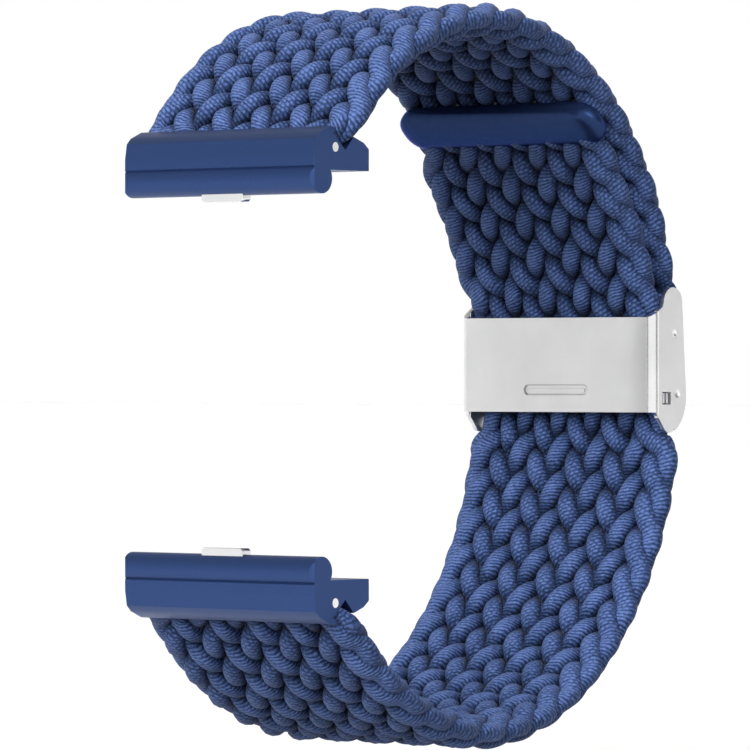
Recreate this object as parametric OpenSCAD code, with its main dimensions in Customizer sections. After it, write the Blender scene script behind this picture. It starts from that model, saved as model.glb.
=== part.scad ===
// Braided nylon watch band with a fold-down clamp clasp, closed round the wrist.
// X runs across the strap, +Y runs from the watch to the back of the wrist, +Z to twelve o'clock.
// The origin is where the middle of the watch sits, halfway between the two lugs.

/* [Loop] */
// Depth from the lug line to the wrist side of the clasp plate
loop_depth = 50.25; // [48:0.05:56]
// Radius of the long strap's middle where it follows the back of the wrist
band_r = 35.8; // [34:0.1:39]
// How far the centre of that curve lies below the lug line
curve_drop = 1.5; // [0:0.1:3]
// Radius of both straps' middle where they turn towards the lugs
corner_r = 25; // [22:0.1:27]
// Height of each strap's root above or below the middle of the watch
root_z = 21.9; // [20:0.1:24]
// Depth of each strap's root behind the lug line
root_y = 2.7; // [1.5:0.1:4]
// Lean of a strap where it leaves its lug, from the lug line
root_angle = 47; // [40:1:55]
// Angle up the back of the wrist at which the tail ends
tail_angle = 47.6; // [36:0.1:52]

/* [Strap] */
// Width of the strap where it lies free
strap_w = 24.6; // [20:0.1:25.2]
// Thickness of the strap
strap_t = 2.3; // [1.8:0.05:2.5]
// Gap left between the two layers of strap
layer_gap = 0.15; // [0.1:0.01:0.4]
// Distance the long strap can be drawn tighter than it is shown
draw_in = 2.5; // [1:0.1:4]
// Columns of the braid side by side across the strap
braid_columns = 10; // [6:1:12]
// Depth of the grooves between those columns
groove_t = 0.4; // [0.2:0.05:0.5]

/* [Clasp] */
// How much wider the clasp is than the free strap
clasp_over = 0.2; // [0:0.1:2]
// Thickness of the bent sheet
sheet_t = 0.5; // [0.4:0.05:0.6]
// Outer radius of the bends between plate and ears
bend_r = 0.85; // [0.7:0.05:1.3]
// Room between the plate and the strap, where the grip plate lies
strap_room = 0.7; // [0.6:0.05:0.9]
// Height of the plate's upper edge
plate_top = 5.8; // [5:0.1:6.2]
// Height of the plate's lower edge, below the lug line
plate_low = 3.75; // [3:0.05:4.2]
// Radius of the round upper lobe of an ear
lobe_r = 1.5; // [1.3:0.05:1.6]
// Length of the bead pressed into the plate
bead_l = 8.15; // [4:0.05:14]
// Width of that bead
bead_w = 0.95; // [0.6:0.05:1.4]
// Radius of the bar that the upper strap is looped on
bar_r = 0.45; // [0.35:0.05:0.55]
// Thickness of the sheet that the lid is bent from
lid_t = 0.5; // [0.35:0.05:0.6]
// Thickness of the lid's two side walls
cheek_t = 0.4; // [0.3:0.02:0.42]
// Radius of the lid's pivot pins
pivot_r = 0.45; // [0.3:0.01:0.5]
// Teeth along the lid's jaw
jaw_teeth = 16; // [8:1:24]
// Teeth along the grip plate
grip_teeth = 15; // [8:1:20]

/* [Lugs] */
// How much shorter a lug is than the free strap is wide
lug_under = 0.6; // [0:0.1:1.5]
// Radius of the rail that runs in the slot
rail_r = 1.45; // [1.2:0.05:1.5]
// Height of the rail's axis above or below the middle of the watch
rail_z = 18.4; // [17.9:0.1:18.6]
// Thickness of the neck between rail and shoulder
neck_t = 1.9; // [1.7:0.05:2.4]
// Radius of the cross pin that holds the strap's end
lug_pin_r = 0.45; // [0.3:0.05:0.5]
// Length of the latch's nose along the rail
latch_l = 5.2; // [3.5:0.1:7]
// How far the latch's nose stands out of the rail, and can be pushed in
latch_throw = 0.6; // [0.3:0.05:0.7]

/* [Tail cap] */
// How much longer the cap is than the free strap is wide
cap_over = 0.8; // [0.2:0.1:2]
// Width of the cap along the strap
cap_w = 5; // [3.6:0.1:5.4]
// Thickness of the cap
cap_t = 2.5; // [2.2:0.05:2.7]
// Radius of the hidden pin through the cap and the tail
tail_pin_r = 0.35; // [0.2:0.05:0.4]

/* [Hidden] */
$fn = 48;

// Clearances: running fit of a pin, seat of a fixed piece, side play of the lid, strap past metal
run_c = 0.03;
seat_c = 0.02;
side_c = 0.05;
strap_c = 0.1;
pinch_c = 0.15; // each side of the squeezed strap
cut = 1; // how far a cutting shape reaches past what it cuts

// Widths that follow from the strap's
clasp_w = strap_w + clasp_over;
lug_w = strap_w - lug_under;
cap_l = strap_w + cap_over;
half_w = clasp_w / 2;
ear_in = half_w - sheet_t;
cheek_out = ear_in - side_c;
cheek_in = cheek_out - cheek_t;
pinch_w = 2 * (cheek_in - pinch_c);

// Loop geometry, as points in the side view: [depth, height]
plate_back = loop_depth + sheet_t;
curve_z = -curve_drop;
inner_r = band_r - strap_t / 2;
strap_y = plate_back + strap_room; // depth of the strap's wrist side at the plate's upper edge
curve_y = strap_y - sqrt(inner_r * inner_r - pow(plate_top - curve_z, 2));
band_c = [curve_y, curve_z];
outer_r = band_r + strap_t / 2;
over_r = outer_r + layer_gap + strap_t / 2; // middle of the upper strap, outside the tail

// Unit vectors of an upper strap's root: along the strap away from the lug, and outwards
root = [root_y, root_z];
along = [cos(root_angle), sin(root_angle)];
out = [-sin(root_angle), cos(root_angle)];

// Centre of the corner curve that meets the back curve c, r and the straight leg
function corner_t(c, r) =
    let (p = root - corner_r * out - c, b = p * along, k = p * p - pow(r - corner_r, 2))
    -b + sqrt(b * b - k);
function corner_c(c, r) = root - corner_r * out + corner_t(c, r) * along;
function flip(p) = [p[0], -p[1]];
function turn(c, p) = atan2(p[1] - c[1], p[0] - c[0]);
function polar(c, r, a) = c + r * [cos(a), sin(a)];
function ring_y(r, z) = curve_y + sqrt(r * r - pow(z - curve_z, 2)); // depth of a back curve at a height
function arc_points(c, r, a0, a1, n) = [for (i = [0:n]) polar(c, r, a0 + (a1 - a0) * i / n)];

upper_c = corner_c(band_c, over_r);
upper_leg = corner_t(band_c, over_r);
upper_join = turn(band_c, upper_c);
lower_c = corner_c(flip(band_c), band_r);
lower_leg = corner_t(flip(band_c), band_r);
lower_join = turn(flip(band_c), lower_c);
corner_end = 90 + root_angle;

// Step between two stretches of strap that run into each other
hair = 0.02;
// Strap's end inside the lug, measured along the root from the mouth
stub_t = 1.7;
stub_len = 1.6;
clip_t = (strap_t - stub_t) / 2;
stub_w = lug_w - 1.6;
pin_s = -0.75; // place of the cross pin along the root
pocket_len = stub_len + clip_t + seat_c;
tongue_t = 1.2;

// Clasp geometry
lobe = [strap_y + strap_t - strap_c, plate_top + lobe_r];
eye_r = 2 * bar_r;
bar_z = lobe[1] + bar_r / 3;
bar = [ring_y(outer_r, bar_z) + layer_gap + eye_r, bar_z];
lid_pivot = lobe + [0.3, -2.1 * lobe_r];
snap = [strap_y + 2.85, 1.9 - plate_low];
window_y = strap_y + 0.4;
window_d = 1.45;
window_h = 1.25;
window_z = 0.8 - plate_low;
ear_back = strap_y + 4.35; // deepest reach of an ear
heel = [strap_y + 0.35, 1.55 - plate_low];
heel_r = ear_back - heel[0];
toe = [strap_y + 1.55, -1 - plate_low];
toe_r = 1.05;
reach = 2 * (lobe[1] + lobe_r + cut); // of a cut or a clip right through the clasp
ear_low = toe[1] - toe_r;
dent_r = 0.45;
bead_z = 2.2 - plate_low;

// Lid geometry
jaw_z = lid_pivot[1] - 1.2;
lid_end = ear_low + 0.35;
cheek_low = 0.2 - plate_low;
cheek_round = 1;
jaw_tip = ring_y(outer_r, jaw_z) + strap_c;

// Grip plate geometry
grip_t = 0.35;
grip_z = window_z + 0.1;
grip_h = window_h - 0.2;

// Lug geometry in the side view
rail = [root_y - 2.5, rail_z];
shoulder_z = rail_z + 0.8;
// Corners of the shoulder round the strap's root, in strap thicknesses
shoulder = [
    [-1.59, -1], [-1.57, -0.57], [-1.46, 0.09], [-1.22, 0.33], [-0.57, 0.61], [-0.26, 0.57],
    [1, 0.17], [1.52, -0.02], [1.83, -0.26], [2, -0.65], [2, -0.96]
];
chamber_top = root_z - 1.5;
chamber_low = rail_z - 0.5;
chamber_w = 1.3;
chamber_l = latch_l + 1.2;
latch_t = chamber_w - 0.1;
flange_h = 0.55;
spring_t = 0.14;
spring_waves = 3;

// Columns of the braid: their pitch, and the half width of the grooves between them
column_w = strap_w / braid_columns;
groove_half = column_w / 3.5;

// Lays a side view out in its plane: drawn x is depth, drawn y is height, and it is w wide across
module side(w) rotate(120, [1, 1, 1]) linear_extrude(w, center = true) children();

// Strap's section, radial across x and its width along y, with round edges
module section(w, t) {
    square([t, w - t], center = true);
    for (s = [-1, 1]) translate([0, s * (w - t) / 2]) circle(d = t);
}
// The braid's section: the same, with a groove along each side between neighbouring columns.
// It is slimmer all round by the inset.
module braid_section(w, inset = 0) {
    slope = groove_t / groove_half;
    tip = strap_t / 2 - groove_t - inset * sqrt(1 + slope * slope);
    difference() {
        section(w - 2 * inset, strap_t - 2 * inset);
        for (s = [-1, 1], k = [1 - braid_columns / 2 : braid_columns / 2 - 1])
            translate([0, k * column_w]) polygon([
                [s * tip, 0],
                [s * (tip + 2 * strap_t * slope), 2 * strap_t],
                [s * (tip + 2 * strap_t * slope), -2 * strap_t]
            ]);
    }
}
module strap_arc(c, r, a0, a1)
    rotate(120, [1, 1, 1]) translate([c[0], c[1], 0]) rotate(a0)
        rotate_extrude(angle = a1 - a0, $fn = 96) translate([r, 0]) children();
// Straight run along the root line, from s0 to s1
module strap_leg(s0, s1)
    rotate(120, [1, 1, 1]) translate([root[0], root[1], 0]) rotate(root_angle)
        translate([s0, 0, 0]) rotate([90, 0, 90]) linear_extrude(s1 - s0) children();
// Shape drawn in the root's own axes: x along the strap, y outwards
module at_root(w) side(w) translate(root) rotate(root_angle) children();

// Each stretch reaches a little way into the next one, and is a hair slimmer on each side
module strap_half(leg, c, join) {
    strap_leg(0, leg + 0.6) braid_section(strap_w, 2 * hair);
    strap_arc(c, corner_r, join - 1.5, corner_end) braid_section(strap_w, hair);
    strap_leg(-stub_len, 0.4) section(stub_w, stub_t);
}

module pin_bore()
    at_root(lug_w) translate([pin_s, 0]) circle(r = lug_pin_r + run_c);

// Upper strap: lug, corner, then outside the tail down to an eye on the clasp's bar
module upper_strap() {
    free_a = asin((ear_in_top() - curve_z) / over_r);
    eye_w = 2 * (cheek_out - 0.15);
    color("royalblue") difference() {
        union() {
            strap_half(upper_leg, upper_c, upper_join);
            strap_arc(band_c, over_r, free_a, upper_join) braid_section(strap_w);
            side(eye_w) polygon([
                polar(band_c, over_r - strap_t / 2 + hair, free_a + 1),
                polar(band_c, over_r + strap_t / 2 - hair, free_a + 1),
                bar + [eye_r - hair, 0.1],
                bar + [0, -eye_r / 2],
                bar + [hair - eye_r, 0]
            ]);
            side(eye_w - 2 * hair) translate(bar) circle(r = eye_r);
        }
        side(2 * ear_in) translate(bar) circle(r = bar_r + run_c);
        pin_bore();
    }
}
function ear_in_top() = lobe[1] + lobe_r + 1.2;

// Long strap: lug, corner, round the back through the clasp, tail inside the upper strap
module lower_strap() {
    wide_z = ear_low - draw_in - 0.4;
    wide_a = asin((wide_z - curve_z) / band_r);
    taper = 2.4;
    tongue_a = tail_angle - asin((cap_w / 2 - 0.3) / band_r);
    color("royalblue") difference() {
        union() {
            mirror([0, 0, 1]) strap_half(lower_leg, lower_c, lower_join);
            strap_arc(band_c, band_r, -lower_join, wide_a) braid_section(strap_w);
            strap_arc(band_c, band_r, wide_a - 1, tongue_a) braid_section(pinch_w + 2 * hair, hair);
            strap_arc(band_c, band_r, tongue_a - 1, tail_angle + 1) section(pinch_w - 1.2, tongue_t);
        }
        side(strap_w) translate(polar(band_c, band_r, tail_angle)) circle(r = tail_pin_r + seat_c);
        for (s = [-1, 1]) translate([0, plate_back, wide_z]) rotate([90, 0, 0])
            linear_extrude(12, center = true) polygon([
                [s * pinch_w / 2, 0.01], [s * (strap_w / 2 + 0.01), 0.01], [s * (strap_w / 2 + 0.01), -taper]
            ]);
        mirror([0, 0, 1]) pin_bore();
    }
}

// Lug: rail for the watch's slot, neck, and a shoulder that the strap's end sits in
module lug_solid() {
    side(lug_w) translate(rail) circle(r = rail_r);
    side(lug_w) translate(rail - [neck_t / 2, 0]) square([neck_t, shoulder_z - rail_z + 0.6]);
    side(lug_w) polygon([
        for (k = shoulder) root + strap_t * k,
        [root_y + 1.83 * strap_t, shoulder_z],
        [root_y - 1.43 * strap_t, shoulder_z]
    ]);
}
module lug_blank() {
    e = 0.35; // chamfer round both ends
    half = lug_w / 2;
    front = rail[0] - rail_r;
    back = root_y + 2 * strap_t;
    intersection() {
        lug_solid();
        linear_extrude(2 * root_z) polygon([
            [-half + e, front], [half - e, front], [half, front + e], [half, back - e],
            [half - e, back], [-half + e, back], [-half, back - e], [-half, front + e]
        ]);
    }
}
module lug() {
    difference() {
        lug_blank();
        at_root(stub_w + 2 * (clip_t + seat_c)) translate([-pocket_len, -strap_t / 2 - seat_c])
            square([pocket_len + 4, strap_t + 2 * seat_c]);
        at_root(lug_w + cut) translate([-seat_c, -strap_t / 2 - seat_c])
            square([2 * strap_t, strap_t + 2 * seat_c]);
        pin_bore();
        translate([-chamber_l / 2, rail[0] - chamber_w / 2, chamber_low])
            cube([chamber_l, chamber_w, chamber_top - chamber_low]);
        translate([-latch_l / 2 - side_c, rail[0] - chamber_w / 2, rail_z - rail_r - cut])
            cube([latch_l + 2 * side_c, chamber_w, chamber_low - rail_z + rail_r + 2 * cut]);
    }
}
module root_clip() {
    at_root(stub_w) difference() {
        translate([-stub_len - clip_t, -strap_t / 2]) square([stub_len + clip_t - 0.1, strap_t]);
        translate([-stub_len - seat_c, -stub_t / 2 - seat_c]) square([stub_len + cut, stub_t + 2 * seat_c]);
    }
}
module lug_pin() at_root(lug_w - 0.1) translate([pin_s, 0]) circle(r = lug_pin_r);

// Spring latch in the rail: a nose that catches in the slot, on a wider foot that stays inside
module latch() {
    nose_low = rail_z - rail_r - latch_throw;
    foot_low = chamber_low + seat_c;
    nose_r = 0.35;
    translate([0, rail[0], 0]) difference() {
        union() {
            translate([-latch_l / 2, -latch_t / 2, nose_low]) cube([latch_l, latch_t, foot_low - nose_low]);
            translate([-chamber_l / 2 + side_c, -latch_t / 2, foot_low])
                cube([chamber_l - 2 * side_c, latch_t, flange_h]);
        }
        for (s = [-1, 1]) translate([s * latch_l / 2, 0, nose_low]) rotate([0, 45, 0])
            cube([nose_r, 2 * latch_t, nose_r], center = true);
    }
}
// Wave of flat spring between the latch's foot and the top of its chamber
module latch_spring() {
    low = chamber_low + flange_h + 2 * seat_c;
    mid = (low + chamber_top - seat_c) / 2;
    swing = (chamber_top - seat_c - low - spring_t) / 2;
    half_l = chamber_l / 2 - 0.4;
    steps = 14 * spring_waves;
    wave = [for (i = [0:steps])
        let (u = i / steps) [half_l * (2 * u - 1), mid - swing * cos(360 * spring_waves * u)]];
    slope = [for (i = [0:steps])
        let (a = wave[max(0, i - 1)], b = wave[min(steps, i + 1)], d = (b - a) / norm(b - a)) [-d[1], d[0]]];
    ends = [for (i = [0:steps]) wave[i] + slope[i] * spring_t / 2];
    back = [for (i = [steps:-1:0]) wave[i] - slope[i] * spring_t / 2];
    translate([0, rail[0], 0]) rotate([90, 0, 0])
        linear_extrude(latch_t - 0.2, center = true) polygon(concat(ends, back));
}

// Sheet bent to a channel: plate on the wrist side, ears standing outwards
module channel_section(depth) {
    w = half_w;
    f = loop_depth;
    union() {
        translate([-w, f + bend_r]) square([2 * w, depth - bend_r]);
        translate([-w + bend_r, f]) square([2 * (w - bend_r), bend_r + 0.01]);
        for (s = [-1, 1]) translate([s * (w - bend_r), f + bend_r]) circle(r = bend_r);
    }
}
module channel_hollow(depth) {
    w = ear_in;
    r = bend_r - sheet_t;
    f = plate_back;
    translate([-w, f + r]) square([2 * w, depth]);
    translate([-w + r, f]) square([2 * (w - r), r + 0.01]);
    for (s = [-1, 1]) translate([s * (w - r), f + r]) circle(r = r);
}
module ear_outline() {
    polygon(concat(
        [[loop_depth - cut, -plate_low], [loop_depth - cut, plate_top], [loop_depth, plate_top],
         lobe + [-lobe_r - 0.2, -0.45], lobe + [-lobe_r, 0], lobe + [lobe_r, 0]],
        arc_points(heel, heel_r, 2, -56, 12),
        [toe, toe + toe_r * [-0.9, -0.43], [loop_depth + 0.55, -plate_low]]
    ));
    translate(lobe) circle(r = lobe_r);
    translate(toe) circle(r = toe_r);
}
module clasp_base() {
    color("lightgray") difference() {
        union() {
            intersection() {
                translate([0, 0, -plate_low]) linear_extrude(plate_top + plate_low)
                    difference() { channel_section(reach); channel_hollow(reach); }
                translate([0, loop_depth, 0])
                    cube([2 * (half_w - bend_r), 2 * bend_r, reach], center = true);
            }
            intersection() {
                linear_extrude(reach, center = true)
                    difference() { channel_section(reach); channel_hollow(reach); }
                side(clasp_w + cut) ear_outline();
                for (s = [-1, 1]) translate([s * half_w, loop_depth, 0])
                    cube([2 * bend_r, reach, reach], center = true);
            }
        }
        // bead pressed into the plate, with a low ridge left along its middle
        difference() {
            translate([0, loop_depth, bead_z]) rotate([90, 0, 0])
                linear_extrude(0.36, center = true) rotate(90) section(bead_l, bead_w);
            translate([0, loop_depth + 0.22, bead_z]) rotate([90, 0, 0])
                linear_extrude(0.3, center = true) rotate(90) section(bead_l - 0.7, bead_w * 0.4);
        }
        for (s = [-1, 1]) {
            translate([s * half_w, window_y + window_d / 2, window_z + window_h / 2])
                cube([4 * sheet_t, window_d, window_h], center = true);
            translate([s * (half_w + dent_r * 0.9), snap[0], snap[1]]) sphere(r = dent_r * 1.35);
        }
        side(clasp_w + cut) translate(lid_pivot) circle(r = pivot_r + seat_c);
    }
}
module strap_bar() color("silver") side(2 * ear_in) translate(bar) circle(r = bar_r);

// Toothed plate under the strap, its ends turned up and folded into the ears' windows
module grip_plate() {
    end_in = cheek_out - grip_t;
    fold = bend_r - sheet_t;
    low = strap_y - strap_c + seat_c;
    flange_top = window_y + window_d - 0.3;
    pitch = 2 * (end_in - 1) / grip_teeth;
    color("gainsboro") translate([0, 0, grip_z]) linear_extrude(grip_h) {
        polygon([
            [-ear_in + fold, low], [ear_in - fold, low], [cheek_out, low + fold],
            [cheek_out, flange_top], [end_in, flange_top], [end_in, low + grip_t + 0.2],
            [end_in - 0.2, low + grip_t], [0.2 - end_in, low + grip_t], [-end_in, low + grip_t + 0.2],
            [-end_in, flange_top], [-cheek_out, flange_top], [-cheek_out, low + fold]
        ]);
    }
    color("gainsboro") for (i = [0:grip_teeth - 1])
        translate([(i + 0.5 - grip_teeth / 2) * pitch, low + grip_t - 0.01, grip_z])
            linear_extrude(grip_h) polygon([[-pitch * 0.3, 0], [pitch * 0.3, 0], [0, 0.22]]);
    color("gainsboro") for (s = [-1, 1], k = [0.3, 0.85])
        translate([s * (end_in + half_w - 0.05) / 2, window_y + k, grip_z + grip_h / 2])
            cube([half_w - 0.05 - end_in, 0.3, grip_h], center = true);
}
// Lid's pivot pin in one ear (s is -1 or 1), dished on its outer face
module lid_pin(s) {
    inner = cheek_in + 0.03;
    translate([0, lid_pivot[0], lid_pivot[1]]) rotate([0, s * 90, 0]) difference() {
        union() {
            translate([0, 0, inner]) cylinder(h = half_w - inner - 0.3, r = pivot_r - run_c);
            translate([0, 0, ear_in]) cylinder(h = half_w - ear_in - 0.05, r = pivot_r);
        }
        translate([0, 0, half_w + dent_r]) sphere(r = dent_r * 1.3);
    }
}
// Lid: outer plate between the ears, turned in at the top to a toothed jaw, with a side wall each end
module clasp_lid() {
    top_back = ear_back - 0.5;
    low_back = ear_back - 0.05;
    knee = [low_back, heel[1]];
    heel_lid = heel_r - 0.05;
    skin = concat(
        [[top_back, jaw_z], knee],
        arc_points(heel, heel_lid, -6, -40, 6)
    );
    inner_skin = [for (i = [len(skin) - 1:-1:0])
        i > 1 ? heel + (skin[i] - heel) * (heel_lid - lid_t) / heel_lid : skin[i] - [lid_t, 0]];
    pitch = 2 * (cheek_in - 0.6) / jaw_teeth;
    color("silver") difference() {
        union() {
            side(2 * cheek_out) polygon(concat(skin, inner_skin));
            side(2 * (cheek_in - 0.3)) polygon([
                [top_back, jaw_z], [top_back - 0.25, jaw_z + 0.35], [top_back - lid_t, jaw_z + 0.4],
                [jaw_tip, jaw_z + 0.12], [jaw_tip, jaw_z - 0.12], [top_back - lid_t, jaw_z - 0.1]
            ]);
            for (s = [-1, 1]) translate([s * (cheek_out + cheek_in) / 2, 0, 0]) side(cheek_t) {
                translate(lid_pivot) circle(r = cheek_round);
                polygon([
                    lid_pivot + [-cheek_round, 0], lid_pivot + [cheek_round, 0.1], [top_back - 0.1, jaw_z],
                    knee - [0.1, 0], polar(heel, heel_lid - 0.1, -22), [strap_y + 3, cheek_low - 0.3],
                    [strap_y + 2.15, cheek_low + 0.6], [strap_y + 2.15, 1.2]
                ]);
            }
        }
        side(clasp_w) translate(lid_pivot) circle(r = pivot_r);
        side(clasp_w) translate(snap) circle(r = dent_r + 0.05);
        for (i = [0:jaw_teeth - 2])
            translate([(i + 1 - jaw_teeth / 2) * pitch, jaw_tip - 0.01, jaw_z - 1]) linear_extrude(2)
                polygon([[-pitch * 0.35, 0], [pitch * 0.35, 0], [0, 0.3]]);
    }
}
// Cross pin that holds the cap on the tail
module tail_pin() {
    p = polar(band_c, band_r, tail_angle);
    side(pinch_w - 2) translate(p) circle(r = tail_pin_r);
}
// Tail cap: flattened capsule closed over the end of the tail
module tail_cap() {
    end_x = (cap_l - cap_w) / 2;
    color("steelblue") difference() {
        rotate(120, [1, 1, 1]) translate([band_c[0], band_c[1], 0]) rotate(tail_angle)
            translate([outer_r + layer_gap / 2 - cap_t / 2, 0, 0]) hull()
                for (s = [-1, 1]) translate([0, 0, s * end_x])
                    scale([cap_t / cap_w, 1, 1]) sphere(d = cap_w, $fn = 28);
        strap_arc(band_c, band_r, tail_angle - 5, tail_angle + 1.3) section(pinch_w - 0.9, tongue_t + 0.1);
        side(pinch_w - 1.9) translate(polar(band_c, band_r, tail_angle)) circle(r = tail_pin_r + seat_c);
        strap_arc(band_c, band_r, tail_angle - 8, tail_angle - asin((cap_w / 2 - 0.3) / band_r) + 0.05)
            section(pinch_w + 0.1, strap_t + 0.1);
    }
}

upper_strap();
color("slateblue") lug();  // upper_lug
color("silver") lug_pin();  // upper_lug_pin
color("gainsboro") root_clip();  // upper_root_clip
color("silver") latch();  // upper_latch
color("gray") latch_spring();  // upper_latch_spring
clasp_base();
strap_bar();
grip_plate();
color("silver") lid_pin(-1);  // left_lid_pivot
color("silver") lid_pin(1);  // right_lid_pivot
clasp_lid();
lower_strap();
tail_cap();
color("silver") tail_pin();
color("slateblue") mirror([0, 0, 1]) lug();  // lower_lug
color("silver") mirror([0, 0, 1]) lug_pin();  // lower_lug_pin
color("gainsboro") mirror([0, 0, 1]) root_clip();  // lower_root_clip
color("silver") mirror([0, 0, 1]) latch();  // lower_latch
color("gray") mirror([0, 0, 1]) latch_spring();  // lower_latch_spring
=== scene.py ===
"""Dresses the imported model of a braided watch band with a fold-down clamp clasp."""

import logging
import math
from dataclasses import dataclass, field
from enum import Enum
from typing import Callable, Optional, Sequence

import bmesh
import bpy
import numpy as np
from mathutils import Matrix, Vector


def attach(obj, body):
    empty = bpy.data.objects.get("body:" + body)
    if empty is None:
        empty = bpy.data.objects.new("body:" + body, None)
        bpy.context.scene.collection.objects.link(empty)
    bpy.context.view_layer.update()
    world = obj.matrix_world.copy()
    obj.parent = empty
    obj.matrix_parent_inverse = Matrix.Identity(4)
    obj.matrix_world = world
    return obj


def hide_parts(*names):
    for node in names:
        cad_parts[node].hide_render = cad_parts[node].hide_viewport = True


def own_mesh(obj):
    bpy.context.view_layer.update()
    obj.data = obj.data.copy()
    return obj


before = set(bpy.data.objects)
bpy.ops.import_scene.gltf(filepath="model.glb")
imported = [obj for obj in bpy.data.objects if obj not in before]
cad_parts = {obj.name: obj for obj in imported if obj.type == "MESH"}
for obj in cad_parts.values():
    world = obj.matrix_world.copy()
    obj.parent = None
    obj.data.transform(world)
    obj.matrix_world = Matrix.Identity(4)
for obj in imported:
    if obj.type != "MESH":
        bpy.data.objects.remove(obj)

Socket = bpy.types.NodeSocket
LOG = logging.getLogger("band")
MM = 0.001
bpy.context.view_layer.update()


class Lean(Enum):
    """Which way the strands of the braid's first column lean as they leave the lug."""

    RIGHT = 1
    LEFT = -1


class Face(Enum):
    """Which face shows a strand on its way in from the strap's edge."""

    INNER = 1
    OUTER = -1


def smooth_table(table: Sequence[tuple[float, float]], at: np.ndarray) -> np.ndarray:
    """Reads a table of values with eased steps between its rows.

    Args:
        table: Rows of place and value, in rising order of place.
        at: Places to read it at.

    Returns:
        The values at those places.
    """
    places = np.array([row[0] for row in table], float)
    values = np.array([row[1] for row in table], float)
    index = np.clip(np.searchsorted(places, at) - 1, 0, len(places) - 2)
    share = np.clip((at - places[index]) / (places[index + 1] - places[index]), 0, 1)
    share = share * share * (3 - 2 * share)
    return values[index] + share * (values[index + 1] - values[index])


def signed_power(value: float, power: float) -> float:
    """Returns a power of a value's size, with the value's own sign."""
    return math.copysign(abs(value) ** power, value)


def put(name: str, data: bpy.types.ID) -> bpy.types.Object:
    """Adds an object of that name and data to the scene and returns it."""
    item = bpy.data.objects.new(name, data)
    bpy.context.scene.collection.objects.link(item)
    return item


def smooth_piece(name: str, shape: bmesh.types.BMesh) -> bpy.types.Object:
    """Adds a smooth piece of that shape and frees the shape."""
    mesh = bpy.data.meshes.new(name)
    shape.to_mesh(mesh)
    shape.free()
    mesh.shade_smooth()
    return put(name, mesh)


class Nodes:
    """A node tree, with short calls to add and join its nodes."""

    def __init__(self, tree: bpy.types.NodeTree) -> None:
        """Takes the tree that the nodes go into."""
        self.tree = tree

    def join(self, source: Socket, target: Socket) -> None:
        """Links an output socket to an input socket."""
        self.tree.links.new(source, target)

    def add(self, kind: str, feeds: Optional[dict] = None, **settings: object) -> bpy.types.Node:
        """Adds a node.

        Args:
            kind: The node's type.
            feeds: A value or a socket for each input to set, by its name or number.
            **settings: Properties of the node, which are set before its inputs.

        Returns:
            The new node.
        """
        node = self.tree.nodes.new(kind)
        for key, value in settings.items():
            setattr(node, key, value)
        for key, value in (feeds or {}).items():
            if isinstance(value, Socket):
                self.join(value, node.inputs[key])
            else:
                node.inputs[key].default_value = value
        return node

    def math(self, operation: str, a: object, b: object = 0.0) -> Socket:
        """Adds a Math node.

        Args:
            operation: The node's operation.
            a: First value, a number or a socket.
            b: Second value, a number or a socket.

        Returns:
            The result's socket.
        """
        return self.add("ShaderNodeMath", {0: a, 1: b}, operation=operation).outputs[0]

    def remap(
        self, value: Socket, source: tuple, target: tuple = (0.0, 1.0), eased: bool = True
    ) -> Socket:
        """Maps a value from one range to another and holds it there.

        Args:
            value: What it reads.
            source: The range it comes from, in rising order.
            target: The range it goes to.
            eased: Whether the change is eased at both ends.

        Returns:
            The result's socket.
        """
        names = ("Value", "From Min", "From Max", "To Min", "To Max")
        feeds = dict(zip(names, (value, *source, *target)))
        kind = "SMOOTHSTEP" if eased else "LINEAR"
        return self.add("ShaderNodeMapRange", feeds, interpolation_type=kind).outputs["Result"]


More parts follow.
